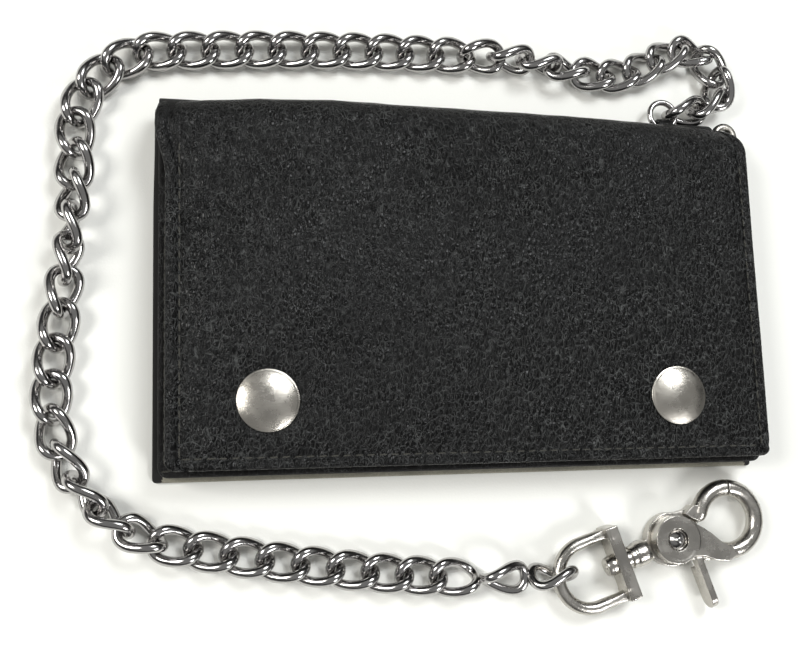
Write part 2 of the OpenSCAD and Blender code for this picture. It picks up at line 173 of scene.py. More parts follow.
def bump(tree, shader, height, distance):
    made = add(tree, "ShaderNodeBump", {"Height": height, "Distance": distance, "Strength": 1.0})
    tree.links.new(made.outputs[0], shader.inputs["Normal"])


def cells(tree, place, scale):
    """Distance from the nearest edge of a pattern of cells."""
    made = add(tree, "ShaderNodeTexVoronoi", {"Vector": place, "Scale": scale}, feature="DISTANCE_TO_EDGE")
    return made.outputs["Distance"]


def pebbled_leather(name, tint, grain, depth, roughness):
    """Soft black hide: pebbles parted by creases, finer creases on them, and broad wrinkles."""
    material, tree, shader = new_material(name, tint, roughness, Specular_IOR_Level=0.2)
    place = place_of(tree)
    push = 0.0005
    wander = noise(tree, place, grain * 0.8, 3).outputs["Color"]
    pushed = add(tree, "ShaderNodeVectorMath", {
        0: wander, 1: (push, push, push), 2: place}, operation="MULTIPLY_ADD").outputs[0]
    toward_fold = (1.0, 0.62, 1.0)
    stretched = add(tree, "ShaderNodeMapping", {"Vector": pushed, "Scale": toward_fold}).outputs[0]
    pebbles = cells(tree, stretched, grain)
    crumbs = cells(tree, stretched, grain * 1.9)
    crease = maths(tree, "POWER", ramp(tree, pebbles, 0.0, 0.42), 0.55)
    fine_crease = ramp(tree, crumbs, 0.0, 0.16)
    broad = noise(tree, place, 55, 5, 0.6).outputs["Fac"]
    strong = ramp(tree, noise(tree, place, 30, 3).outputs["Fac"], 0.35, 0.65, 0.25, 1.0)
    height = maths(tree, "MULTIPLY_ADD", crease, strong, maths(tree, "MULTIPLY", fine_crease, 0.18))
    height = maths(tree, "MULTIPLY_ADD", broad, 0.9, height)
    bump(tree, shader, height, depth)
    # The creases and hairlines are painted a lighter grey than the hide: a painted highlight for the glints the
    # lamps catch along the grain.
    crease_glint_paint = (0.088, 0.092, 0.090)
    broken = ramp(tree, noise(tree, place, grain * 0.55, 3).outputs["Fac"], 0.40, 0.60, 0.12, 1.0)
    line = maths(tree, "MULTIPLY", ramp(tree, pebbles, 0.0, 0.075, 1.0, 0.0), broken)
    hair = maths(tree, "MULTIPLY", ramp(tree, crumbs, 0.0, 0.05, 0.12, 0.0), strong)
    lines = maths(tree, "MAXIMUM", maths(tree, "MULTIPLY", line, strong), hair)
    color = mix_colors(tree, lines, tint, crease_glint_paint)
    color = mix_colors(tree, ramp(tree, broad, 0.5, 0.75, 0.0, 0.5), color, shade(tint, 2.2))
    tree.links.new(color, shader.inputs["Base Color"])
    patches = noise(tree, place, 90, 4).outputs["Fac"]
    gloss = ramp(tree, patches, 0.3, 0.7, roughness - 0.07, roughness + 0.09)
    matt_creases = maths(tree, "MULTIPLY_ADD", maths(tree, "SUBTRACT", 1.0, crease), 0.12, gloss)
    tree.links.new(matt_creases, shader.inputs["Roughness"])
    return material


def woven_cloth(name, tint, threads_per_mm, roughness, depth):
    """A plain weave whose threads run along X and Y."""
    material, tree, shader = new_material(name, tint, roughness, Sheen_Weight=0.25)
    place = place_of(tree)
    split = add(tree, "ShaderNodeSeparateXYZ", {0: place})
    turns = threads_per_mm * 1000 * math.pi
    warp = maths(tree, "SINE", maths(tree, "MULTIPLY", split.outputs[0], turns))
    weft = maths(tree, "SINE", maths(tree, "MULTIPLY", split.outputs[1], turns))
    weave = maths(tree, "MULTIPLY", warp, weft)
    fuzz = noise(tree, place, 3000, 3).outputs["Fac"]
    height = maths(tree, "MULTIPLY_ADD", fuzz, 0.7, weave)
    bump(tree, shader, height, depth)
    color = mix_colors(tree, ramp(tree, weave, -1, 1), shade(tint, 0.55), tint)
    color = mix_colors(tree, ramp(tree, noise(tree, place, 60, 4).outputs["Fac"], 0.4, 0.8, 0, 0.35), color,
        shade(tint, 1.6))
    tree.links.new(color, shader.inputs["Base Color"])
    return material


def plated_metal(name, tint, roughness, scratch_depth, smoky=0.5):
    """Polished plate: faint waves, hairline scratches and a smoky film in patches."""
    material, tree, shader = new_material(name, tint, roughness, metallic=1.0)
    place = place_of(tree)
    film = noise(tree, place, 160, 5, 0.6).outputs["Fac"]
    long_place = add(tree, "ShaderNodeMapping", {
        "Vector": place, "Rotation": (0.3, 0.2, 0.7), "Scale": (1.0, 14.0, 14.0)}).outputs[0]
    hairs = noise(tree, long_place, 260, 6, 0.7).outputs["Fac"]
    waves = noise(tree, place, 420, 2).outputs["Fac"]
    rough = ramp(tree, film, 0.35, 0.75, roughness * 0.75, roughness * 1.9)
    tree.links.new(maths(tree, "MULTIPLY_ADD", hairs, 0.05, rough), shader.inputs["Roughness"])
    dim = shade(tint, 1 - 0.35 * smoky)
    color = mix_colors(tree, ramp(tree, film, 0.45, 0.75, 0, smoky), tint, dim)
    tree.links.new(color, shader.inputs["Base Color"])
    bump(tree, shader, maths(tree, "MULTIPLY_ADD", waves, 1.2, hairs), scratch_depth)
    return material


def twisted_thread(name, tint):
    material, tree, shader = new_material(name, tint, 0.6, Sheen_Weight=0.2)
    place = place_of(tree)
    twist = add(tree, "ShaderNodeTexWave", {
        "Vector": place, "Scale": 900, "Distortion": 1.5, "Detail": 2.0}, bands_direction="DIAGONAL")
    bump(tree, shader, twist.outputs["Fac"], 0.00006)
    color = mix_colors(tree, twist.outputs["Fac"], shade(tint, 0.5), tint)
    tree.links.new(color, shader.inputs["Base Color"])
    return material


def raw_hide(name, tint):
    """The flesh side and cut edge of the leather: short fibres in a dusty pale tone."""
    material, tree, shader = new_material(name, tint, 0.85)
    place = place_of(tree)
    fibres = noise(tree, place, 1900, 6, 0.7, 0.6).outputs["Fac"]
    patches = noise(tree, place, 130, 4).outputs["Fac"]
    bump(tree, shader, fibres, 0.00012)
    color = mix_colors(tree, ramp(tree, fibres, 0.3, 0.7), shade(tint, 0.6), tint)
    color = mix_colors(tree, ramp(tree, patches, 0.4, 0.7, 0, 0.5), color, shade(tint, 0.45))
    tree.links.new(color, shader.inputs["Base Color"])
    return material


def clear_film(name):
    material, tree, shader = new_material(name, (0.9, 0.92, 0.93), 0.12,
        Transmission_Weight=1.0, IOR=1.45, Alpha=0.35)
    place = place_of(tree)
    waves = noise(tree, place, 70, 3).outputs["Fac"]
    bump(tree, shader, waves, 0.0004)
    haze = ramp(tree, noise(tree, place, 220, 5).outputs["Fac"], 0.4, 0.8, 0.08, 0.28)
    tree.links.new(haze, shader.inputs["Roughness"])
    return material


HIDE = pebbled_leather("pebbled_black_hide", (0.0013, 0.0013, 0.0014), 840, 0.00030, 0.24)
INNER_HIDE = pebbled_leather("inner_black_hide", (0.006, 0.0055, 0.0055), 1100, 0.00010, 0.45)
RAW_EDGE = raw_hide("raw_hide_edge", (0.36, 0.345, 0.275))
# A near-black copy of the pale raw edge: painted shade on the cut edges and on the flesh near the wallet's
# sides, where they lie in shadow.
DARK_EDGE = raw_hide("shade_painted_hide_edge", (0.014, 0.013, 0.0125))
LINING = woven_cloth("lining_cloth", (0.028, 0.028, 0.031), 2.2, 0.8, 0.00008)
ZIP_CLOTH = woven_cloth("zip_tape_cloth", (0.02, 0.02, 0.023), 1.6, 0.85, 0.0001)
CAST_NICKEL = plated_metal("cast_nickel", (0.50, 0.48, 0.445), 0.20, 0.000035, 0.25)
NICKEL = plated_metal("nickel_plate", (0.44, 0.43, 0.425), 0.10, 0.00002)
CAP_NICKEL = plated_metal("snap_cap_nickel", (0.50, 0.475, 0.43), 0.22, 0.00003, 0.8)
ZIP_METAL = plated_metal("zip_nickel", (0.55, 0.54, 0.52), 0.28, 0.00003)
SPRING_STEEL = plated_metal("spring_steel", (0.5, 0.5, 0.5), 0.3, 0.00002)
THREAD = twisted_thread("black_waxed_thread", (0.042, 0.040, 0.029))
FILM = clear_film("clear_window_film")


# ---------------------------------------------------------------- camera, light and floor

def set_camera():
    """The eye is low and to the left, above the wallet's bottom left corner."""
    data = bpy.data.cameras.new("camera")
    data.sensor_width = 36.0
    data.lens = 46.1
    data.clip_start = 0.01
    data.clip_end = 20.0
    camera = bpy.data.objects.new("camera", data)
    bpy.context.collection.objects.link(camera)
    back = Vector((-0.2240, -0.1452, 0.9637)).normalized()
    up = Vector((-0.0029, 0.9889, 0.1483))
    right = up.cross(back).normalized()
    up = back.cross(right)
    turn = Matrix((right, up, back)).transposed()
    camera.matrix_world = Matrix.Translation(Vector((-79.1, -50.0, 263.6)) * MM) @ turn.to_4x4()
    bpy.context.scene.camera = camera


def area_light(name, at, aim, size, power, tint=(1, 1, 1)):
    data = bpy.data.lights.new(name, "AREA")
    data.energy = power
    data.color = tint
    data.size = size
    lamp = bpy.data.objects.new(name, data)
    bpy.context.collection.objects.link(lamp)
    at, aim = Vector(at), Vector(aim)
    lamp.matrix_world = Matrix.Translation(at) @ (aim - at).to_track_quat("-Z", "Y").to_matrix().to_4x4()


def set_light():
    bpy.context.scene.view_settings.view_transform = "Standard"
    world = bpy.data.worlds.new("studio")
    bpy.context.scene.world = world
    world.use_nodes = True
    tree = world.node_tree
    sky = tree.nodes["Background"]
    place = add(tree, "ShaderNodeTexCoord").outputs["Generated"]
    up = add(tree, "ShaderNodeSeparateXYZ", {0: place}).outputs[2]
    tone = add(tree, "ShaderNodeValToRGB", {0: maths(tree, "MULTIPLY_ADD", up, 0.5, 0.5)})
    stops = tone.color_ramp.elements
    stops[0].position, stops[0].color = 0.5, (0.9, 0.9, 0.88, 1)
    stops[1].position, stops[1].color = 1.0, (0.3, 0.3, 0.3, 1)
    bands = ((0.55, 0.25), (0.63, 0.03), (0.74, 0.04), (0.80, 0.35), (0.86, 0.3), (0.92, 0.3))
    for position, grey in bands:
        stop = stops.new(position)
        stop.color = (grey, grey, grey * 0.98, 1)
    tree.links.new(tone.outputs[0], sky.inputs["Color"])
    sky.inputs["Strength"].default_value = 1.0
    area_light("left_window", (-0.62, 0.10, 0.60), (-0.02, 0.0, 0.0), 0.30, 4.4, (1.0, 0.99, 0.96))
    area_light("top_soft", (0.30, 0.42, 0.75), (0.0, 0.0, 0.0), 0.34, 4.2, (0.97, 0.99, 1.0))
    area_light("front_soft", (0.45, -0.62, 0.55), (0.05, 0.0, 0.0), 0.26, 3.8)


def lay_floor():
    pale, shaded = (0.93, 0.93, 0.885), (0.915, 0.915, 0.875)
    material, tree, shader = new_material("pale_table", pale, 0.55)
    place = place_of(tree)
    cloudy = noise(tree, place, 14, 4).outputs["Fac"]
    color = mix_colors(tree, ramp(tree, cloudy, 0.3, 0.7), pale, shaded)
    tree.links.new(color, shader.inputs["Base Color"])
    bump(tree, shader, noise(tree, place, 1500, 3).outputs["Fac"], 0.00004)
    half, below = 1.6, -0.00005
    corners = [(-half, -half, below), (half, -half, below), (half, half, below), (-half, half, below)]
    floor = mesh_piece("table_top", corners, [(0, 1, 2, 3)], [material], False)


set_camera()
set_light()
lay_floor()


# ---------------------------------------------------------------- sizes taken from the frame, in millimetres

def box_mm(node):
    low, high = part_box(node)
    return [c * 1000 for c in low], [c * 1000 for c in high]


def middle_mm(node):
    """The middle of a node's box in X and Y."""
    low, high = box_mm(node)
    return (low[0] + high[0]) / 2, (low[1] + high[1]) / 2


def joint(name):
    return next(j for j in frame["joints"] if j["name"] == name)


back_low, back_high = box_mm("outer_back")
flap_low, flap_high = box_mm("outer_flap")
FOLD_Y = joint("flap_fold")["pos_m"][1] * 1000
FOLD_R = joint("flap_fold")["pos_m"][2] * 1000
HIDE_T = back_high[2]
FLAP_Z = flap_high[2]
TAB_X = middle_mm("chain_tab")[0]
cap_low, cap_high = box_mm("snap_caps")
CAP_R = 7.8
CAP_Y = middle_mm("snap_caps")[1]
CAPS = [(cap_low[0] + CAP_R, CAP_Y), (cap_high[0] - CAP_R, CAP_Y)]
# The flap's seams, from its left, bottom and right edge
SEAM_LEFT, SEAM_BOTTOM, SEAM_RIGHT = 3.45, 2.85, 2.4
# The opening in the fold for the chain's loop
SLOT_HALF, SLOT_TOP = 4.6, 7.4
# Inside seams, from the edge of their piece
INSET = 1.6
# The leather's left edge where it turns round the fold
FOLD_LEFT = back_low[0] + 0.3


def sag(x, y):
    """The fold bows: it stands furthest back left of the middle and less at both ends."""
    depth = np.interp(x, [-82, -70, -55, -37, -5, 27, 50, 70, 82],
        [-2.6, -1.9, -0.7, 0.0, -0.5, -1.0, -1.7, -2.6, -3.2])
    return depth * smoothstep(18.0, 47.0, y)


# ---------------------------------------------------------------- outer leather

def profile_steps():
    """Places along the leather from the back's bottom edge round the fold to the flap's edge:
    the centre line point and outward normal in Y and Z, with the distance to the nearer end."""
    ends = [0, 0.06, 0.2, 0.45, 0.8, 1.3, 1.9, 2.6, 3.4]
    rows = []
    back_len = FOLD_Y - back_low[1]
    steps = ends + list(np.linspace(4.6, back_len, 38))
    margin = 0.6
    for s in steps:
        rows.append((back_low[1] - margin * (1 - s / back_len) + s, 0.0, 0.0, -1.0, s, "back"))
    for a in np.linspace(-90, 90, 29)[1:-1]:
        c, n = math.cos(math.radians(a)), math.sin(math.radians(a))
        rows.append((FOLD_Y + FOLD_R * c, FOLD_R + FOLD_R * n, c, n, 99.0, "fold"))
    flap_len = FOLD_Y - flap_low[1]
    steps = list(np.linspace(flap_len, 4.2, 92)) + ends[::-1]
    for s in steps:
        rows.append((flap_low[1] + s, FLAP_Z, 0.0, 1.0, s, "flap"))
    return rows


def side_edges(y, z, s, part):
    """Left and right edge of the leather at one row."""
    corner = 1.0 if part == "back" else 2.6
    share = z / FLAP_Z if part != "back" else 0.0
    high_up = smoothstep(0.2, 0.6, share)
    if part == "back":
        left = back_low[0] + (FOLD_LEFT - back_low[0]) * smoothstep(18.0, FOLD_Y, y)
    else:
        left = FOLD_LEFT + (flap_low[0] - FOLD_LEFT) * smoothstep(FOLD_Y, 26.0, y) * (part == "flap")
    right = back_high[0] + (flap_high[0] - back_high[0]) * smoothstep(0.1, 0.8, share)
    if s < corner:
        cut = corner - math.sqrt(max(0.0, corner * corner - (corner - s) ** 2))
        left, right = left + cut, right - cut
    # The fold's right end is drawn in by a round corner, its left end only a little
    if y > FOLD_Y - 2 and part != "back":
        round_right, round_left = 8.6, 2.8
        d = min(1.0, (y - FOLD_Y + 2) / (FOLD_R + 2))
        right -= round_right * (1 - math.sqrt(1 - d * d)) * 0.95 * high_up
        left += round_left * (1 - math.sqrt(1 - (0.9 * d) ** 2)) * high_up
    return left, right


def flap_relief(x, y, left, right):
    """Height of the flap's outside over its flat plate, in millimetres."""
    from_left, from_right, from_bottom = x - left, right - x, y - flap_low[1]
    height = 0.55 * smoothstep(3.4, 10.0, from_left) * smoothstep(2.5, 9.0, from_right)
    height = height * smoothstep(2.8, 10.0, from_bottom)
    top_fade = 1 - 0.5 * smoothstep(36.0, 42.0, y)
    groove = 0.62 * bell(from_left - SEAM_LEFT, 0.75) * (1 - 0.25 * smoothstep(34, 42, y))
    groove = groove + 0.5 * bell(from_bottom - SEAM_BOTTOM, 0.7) * smoothstep(1.5, 3.5, from_left)
    groove = groove + 0.45 * bell(from_right - SEAM_RIGHT, 0.65) * smoothstep(1.0, 3.0, from_bottom)
    rim = 0.22 * bell(from_left - 1.5, 1.0) + 0.16 * bell(from_bottom - 1.2, 0.9)
    rim = rim + 0.12 * bell(from_right - 1.0, 0.8)
    height = height * top_fade - groove + rim
    for cx, cy in CAPS:
        r = np.hypot(x - cx, y - cy)
        around = np.arctan2(y - cy, x - cx)
        height = height - 0.85 * bell(np.maximum(r - 6.4, 0), 3.4) * (1 - smoothstep(0, 16, r) * 0.2)
        height = height + 0.09 * np.cos(13 * around + 1.2 * np.sin(3 * around)) * bell(r - 11.0, 3.2)
        # Drag lines run from each snap towards the nearest bottom corner
        toward = math.atan2(flap_low[1] - cy, (flap_low[0] if cx < 0 else flap_high[0]) - cx)
        spread = np.cos(around - toward)
        lines = np.sin(r * 1.25 + 5 * (around - toward)) * smoothstep(0.3, 0.95, spread)
        height = height + 0.13 * lines * bell(r - 15.0, 6.0)
    height = height + 0.16 * ripple(x, y, 42.0, 3) + 0.05 * ripple(x, y, 9.0, 8)
    return height


def edge_drop(to_edge, radius):
    """How far a rounded edge lies below the face at each distance from the edge."""
    short = 1 - np.minimum(to_edge, radius) / radius
    return radius * (1 - np.sqrt(np.clip(1 - short ** 2, 0, 1)))


def shell(name, outer, inner, materials, keep=None, inner_kind=None, rim_kind=None):
    """A closed skin from two grids of points in millimetres; cells that aren't kept are openings."""
    n_rows, count = outer.shape[:2]
    if keep is None:
        keep = np.ones((n_rows - 1, count - 1), bool)
    verts = np.concatenate([outer.reshape(-1, 3), inner.reshape(-1, 3)]) * MM
    offset = n_rows * count
    faces, kinds = [], []

    def wall(p, q, row):
        faces.append((p, p + offset, q + offset, q))
        kinds.append(rim_kind(row) if rim_kind else 1)

    def kept(i, j):
        return 0 <= i < n_rows - 1 and 0 <= j < count - 1 and keep[i, j]

    for i in range(n_rows - 1):
        for j in range(count - 1):
            corners = [i * count + j, i * count + j + 1, (i + 1) * count + j + 1, (i + 1) * count + j]
            if keep[i, j]:
                faces.append(tuple(corners))
                kinds.append(0)
                faces.append(tuple(c + offset for c in corners[::-1]))
                kinds.append(inner_kind(i, j) if inner_kind else 0)
                for side, (di, dj) in enumerate(((-1, 0), (0, 1), (1, 0), (0, -1))):
                    if not kept(i + di, j + dj):
                        wall(corners[side], corners[(side + 1) % 4], i + di)
    piece = mesh_piece(name, verts, faces, materials)
    piece.data.polygons.foreach_set("material_index", kinds)
    tidy_mesh(piece)
    return piece


def make_cover():
    rows = profile_steps()
    edge_lines = [0, 0.05, 0.18, 0.4, 0.75, 1.2, 1.7, 2.15, 2.55, 2.9, 3.25, 3.6, 3.95, 4.4, 5.0, 5.8]
    middle = 158
    outer, inner = [], []
    for y, z, ny, nz, s, part in rows:
        left, right = side_edges(y, z, s, part)
        xs = [left + e for e in edge_lines]
        xs += list(np.linspace(left + edge_lines[-1], right - edge_lines[-1], middle)[1:-1])
        xs += [right - e for e in edge_lines[::-1]]
        xs = np.array(xs)
        to_side = np.minimum(xs - left, right - xs)
        to_edge = np.minimum(to_side, s)
        drop = edge_drop(to_edge, 0.5)
        lift = np.zeros_like(xs)
        if part == "flap":
            lift = flap_relief(xs, y, left, right)
        elif part == "fold":
            near = smoothstep(0.55, 1.0, z / FLAP_Z)
            lift = flap_relief(xs, FOLD_Y, left, right) * near
            lift = lift + 0.1 * ripple(xs, z * 2.0, 12.0, 5) * (1 - near)
            crease = bell(xs - left - SEAM_LEFT + 0.05, 0.9) * (1 - 0.5 * near)
            lift = lift - 0.75 * crease * smoothstep(0.1, 0.5, z / FLAP_Z)
        out = lift - drop
        # The flesh side follows the outside's broad shape so the hide keeps its thickness
        flesh = np.minimum(lift, 0.0) * 0.5 + drop * 0.8
        shift = sag(xs, np.full_like(xs, y))
        outer.append(np.stack([xs, y + shift + ny * out, z + nz * out], 1))
        inner.append(np.stack([xs, y + shift - ny * (HIDE_T - flesh), z - nz * (HIDE_T - flesh)], 1))
    count = len(outer[0])
    grid_out, grid_in = np.array(outer), np.array(inner)
    grid_out[:, :, 2] = np.maximum(grid_out[:, :, 2], 0.0)

    def in_slot(i, j):
        x, z = grid_out[i, j, 0], grid_out[i, j, 2]
        return rows[i][5] == "fold" and abs(x - TAB_X) < SLOT_HALF and z < SLOT_TOP

    keep = np.array([[not (in_slot(i, j) and in_slot(i + 1, j + 1)) for j in range(count - 1)]
        for i in range(len(rows) - 1)])

    def flesh_kind(i, j):
        x = grid_out[i, j, 0]
        # The flesh near the sides takes the near-black copy: painted shade along the wallet's sides.
        at_side = min(x - back_low[0], back_high[0] - x) < 2.2
        return 1 if rows[i][5] == "back" and not at_side else 2

    # All cut edges but the back's bottom one take the near-black copy, a painted shade; the bottom edge keeps
    # the pale raw colour.
    cover = shell("outer_leather", grid_out, grid_in, [HIDE, RAW_EDGE, DARK_EDGE], keep, flesh_kind,
        lambda row: 1 if row < 0 else 2)
    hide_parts("outer_back", "outer_flap")
    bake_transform(cover)
    return grid_out


def tidy_mesh(piece):
    """Joins doubled points, drops loose ones and points the faces outwards."""
    work = bmesh.new()
    work.from_mesh(piece.data)
    bmesh.ops.remove_doubles(work, verts=work.verts, dist=1e-6)
    loose = [v for v in work.verts if not v.link_faces]
    bmesh.ops.delete(work, geom=loose, context="VERTS")
    bmesh.ops.recalc_face_normals(work, faces=work.faces)
    work.to_mesh(piece.data)
    work.free()
    piece.data.shade_smooth()


cover_grid = make_cover()


# ---------------------------------------------------------------- sheets, lining and plates inside the wallet

def sheet_lines(low, high, count):
    """Grid lines across a sheet, close together near both edges."""
    near = [0, 0.04, 0.12, 0.25, 0.45, 0.8, 1.2, 1.6, 2.0, 2.5, 3.0]
    middle = list(np.linspace(low + 4, high - 4, count))
    return [low + e for e in near] + middle + [high - e for e in near[::-1]]


def soft_sheet(name, node, body, materials, seed, opening=None, visible=1, pocket_edge=False):
    """A cut sheet with rounded corners, softened edges, a gentle waviness and a pressed stitch line."""
    low, high = box_mm(node)
    thick = high[2] - low[2]
    xs, ys = sheet_lines(low[0], high[0], 44), sheet_lines(low[1], high[1], 24)
    if opening:
        xs, ys = sorted(xs + [opening[0], opening[2]]), sorted(ys + [opening[1], opening[3]])
    xs, ys = np.array(xs), np.array(ys)
    outer, inner, corner = [], [], 2.5
    rounding = min(0.3, thick * 0.45)
    for y in ys:
        s = min(y - low[1], high[1] - y)
        cut = corner - math.sqrt(max(0.0, corner ** 2 - max(0.0, corner - s) ** 2))
        share = (xs - low[0]) / (high[0] - low[0])
        row = xs + cut * (1 - 2 * share)
        to_edge = np.minimum(np.minimum(row - low[0] - cut, high[0] - cut - row), s)
        drop = edge_drop(to_edge, rounding)
        wave = 0.07 * ripple(row, np.full_like(row, y), 38.0, seed) * smoothstep(0, 6, to_edge)
        groove = min(0.14, thick * 0.25) * bell(to_edge - INSET, 0.35) if thick > 0.35 else 0 * row
        if pocket_edge:
            groove = groove * (high[1] - y > 1.0) + 0.12 * bell(high[1] - y - 2.2, 0.4)
        shift = 0.16 * ripple(np.full_like(row, y), row * 0, 30.0, seed + 9)
        top = high[2] + wave - drop - (groove if visible > 0 else 0)
        bottom = low[2] + wave + drop + (groove if visible < 0 else 0)
        edge_wander = 0.22 * ripple(row, row * 0, 46.0, seed + 4) * smoothstep(6, 0, np.full_like(row, s))
        inward = np.where(y > (low[1] + high[1]) / 2, -1, 1) * np.abs(edge_wander)
        row = row + shift * (0.5 - share) * 0.6
        outer.append(np.stack([row, y + inward, top], 1))
        inner.append(np.stack([row, y + inward, bottom], 1))
    outer, inner = np.array(outer), np.array(inner)
    keep = None
    if opening:
        mid_x, mid_y = (xs[1:] + xs[:-1]) / 2, (ys[1:] + ys[:-1]) / 2
        inside = (mid_x > opening[0]) & (mid_x < opening[2])
        keep = ~(((mid_y > opening[1]) & (mid_y < opening[3]))[:, None] & inside[None, :])
    piece = shell(name, outer, inner, materials, keep)
    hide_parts(node)
    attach(piece, body)
    return piece


def make_fold_lining():
    """The lining turns with the leather inside the fold, open where the chain's loop passes."""
    low, high = box_mm("fold_lining")
    outside, inside = high[1] - FOLD_Y, high[1] - FOLD_Y - 1.0
    angles = np.radians(np.concatenate([[-90, -88], np.linspace(-84, 84, 25), [88, 90]]))
    low[0] = back_low[0] + 1.4
    xs = np.concatenate([[low[0] + e for e in (0, 0.1, 0.3)], np.linspace(low[0] + 1, TAB_X - 4.8, 70),
        np.linspace(TAB_X - 4.2, TAB_X + 4.2, 12), np.linspace(TAB_X + 4.8, high[0] - 1, 8),
        [high[0] - e for e in (0.3, 0.1, 0)]])
    rows_out, rows_in = [], []
    for a in angles:
        drop = 0.875 * edge_drop(np.minimum(xs - low[0], high[0] - xs), 0.4)
        wave = 0.08 * ripple(xs, np.full_like(xs, a * 5), 14.0, 31)
        for rows, radius in ((rows_out, outside - drop), (rows_in, inside + drop)):
            radius = radius + wave * 0.5
            rows.append(np.stack([xs, FOLD_Y + radius * math.cos(a), FOLD_R + radius * math.sin(a)], 1))
    outer, inner = np.array(rows_out), np.array(rows_in)
    mid_x, mid_z = (outer[:-1, 1:, 0] + outer[:-1, :-1, 0]) / 2, outer[:-1, :-1, 2]
    keep = ~((np.abs(mid_x - TAB_X) < SLOT_HALF) & (mid_z < SLOT_TOP))
    piece = shell("fold_lining_leather", outer, inner, [INNER_HIDE, DARK_EDGE], keep)
    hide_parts("fold_lining")
    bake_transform(piece)


def finish_node(node, material, bevel=0.0, segments=3):
    """A CAD node shown with its own material and softened edges."""
    piece = frame["nodes"][node]
    piece.data.materials.clear()
    piece.data.materials.append(material)
    weld = piece.modifiers.new("weld", "WELD")
    weld.merge_threshold = WELD_GAP
    if bevel:
        soft = piece.modifiers.new("soft_edges", "BEVEL")
        soft.width, soft.segments, soft.limit_method = bevel * MM, segments, "ANGLE"
        soft.angle_limit = math.radians(35)
        soft.harden_normals = True
    piece.data.shade_smooth()


def lathe(name, centres, profile, material, body, nodes, sides=64):
    """Turned pieces about upright axes; profile is radius and height from the axis out and back."""
    verts, faces = [], []
    angles = [2 * math.pi * k / sides for k in range(sides)]
    for cx, cy in centres:
        starts = []
        for radius, z in profile:
            starts.append(len(verts))
            if radius == 0:
                verts.append((cx, cy, z))
            else:
                verts += [(cx + radius * math.cos(a), cy + radius * math.sin(a), z) for a in angles]
        closed = profile[0][0] > 0
        for n in range(len(profile) if closed else len(profile) - 1):
            m = (n + 1) % len(profile)
            a, b = starts[n], starts[m]
            for k in range(sides):
                j = (k + 1) % sides
                if profile[n][0] == 0:
                    faces.append((a, b + k, b + j))
                elif profile[m][0] == 0:
                    faces.append((a + k, b, a + j))
                else:
                    faces.append((a + k, b + k, b + j, a + j))
    piece = mesh_piece(name, np.array(verts) * MM, faces, [material])
    tidy_mesh(piece)
    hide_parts(*nodes)
    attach(piece, body)
    return piece


def make_snaps():
    top = FLAP_Z
    rise = cap_high[2] - FLAP_Z
    dome = [(CAP_R * u, top + 0.24 + (rise - 0.24) * (1 - u ** 2.3)) for u in np.linspace(0, 0.93, 22)]
    rim = [(7.42, top + 0.36), (7.62, top + 0.37), (7.78, top + 0.25), (7.8, top + 0.06), (7.66, top - 0.1),
        (7.3, top - 0.2), (1.9, top - 0.2), (1.9, cap_low[2]), (0, cap_low[2])]
    lathe("snap_cap_domes", CAPS, dome + rim, CAP_NICKEL, "flap", ["snap_caps"], 96)
    low, high = box_mm("snap_sockets")
    under, over = low[2], high[2]
    socket = [(0, over), (5.7, over), (6, over - 0.3), (5.95, over - 0.8), (5.0, over - 1.15),
        (4.7, under + 0.25), (4.4, under), (3.3, under), (2.9, under + 0.3), (2.85, over - 0.7),
        (2.6, over - 0.55), (0, over - 0.55)]
    lathe("snap_socket_cups", CAPS, socket, CAP_NICKEL, "flap", ["snap_sockets"], 56)
    low, high = box_mm("snap_studs")
    seat, tip = low[2], high[2]
    stud = [(0, seat), (5.3, seat), (5.5, seat + 0.15), (5.4, seat + 0.35), (4.9, seat + 0.48),
        (3.3, seat + 0.5), (2.3, seat + 0.7), (1.75, seat + 1.0), (1.75, seat + 1.2), (2.15, seat + 1.55),
        (2.15, tip - 0.3), (1.6, tip - 0.03), (0, tip)]
    lathe("snap_stud_buttons", CAPS, stud, CAP_NICKEL, "wallet", ["snap_studs"], 56)
    low, high = box_mm("corner_eyelet")
    under, over, flange = low[2], high[2], (high[0] - low[0]) / 2
    tube = [(2.0, under + 0.2), (2.25, under), (flange - 0.3, under), (flange, under + 0.18),
        (flange - 0.2, under + 0.32), (2.4, under + 0.34), (2.4, over - 0.34),
        (flange - 0.2, over - 0.32), (flange, over - 0.18), (flange - 0.3, over), (2.25, over),
        (2.0, over - 0.2)]
    lathe("corner_eyelet_rim", [middle_mm("corner_eyelet")], tube, CAP_NICKEL, "wallet",
        ["corner_eyelet"], 56)


# ---------------------------------------------------------------- pieces that repeat, made with geometry nodes

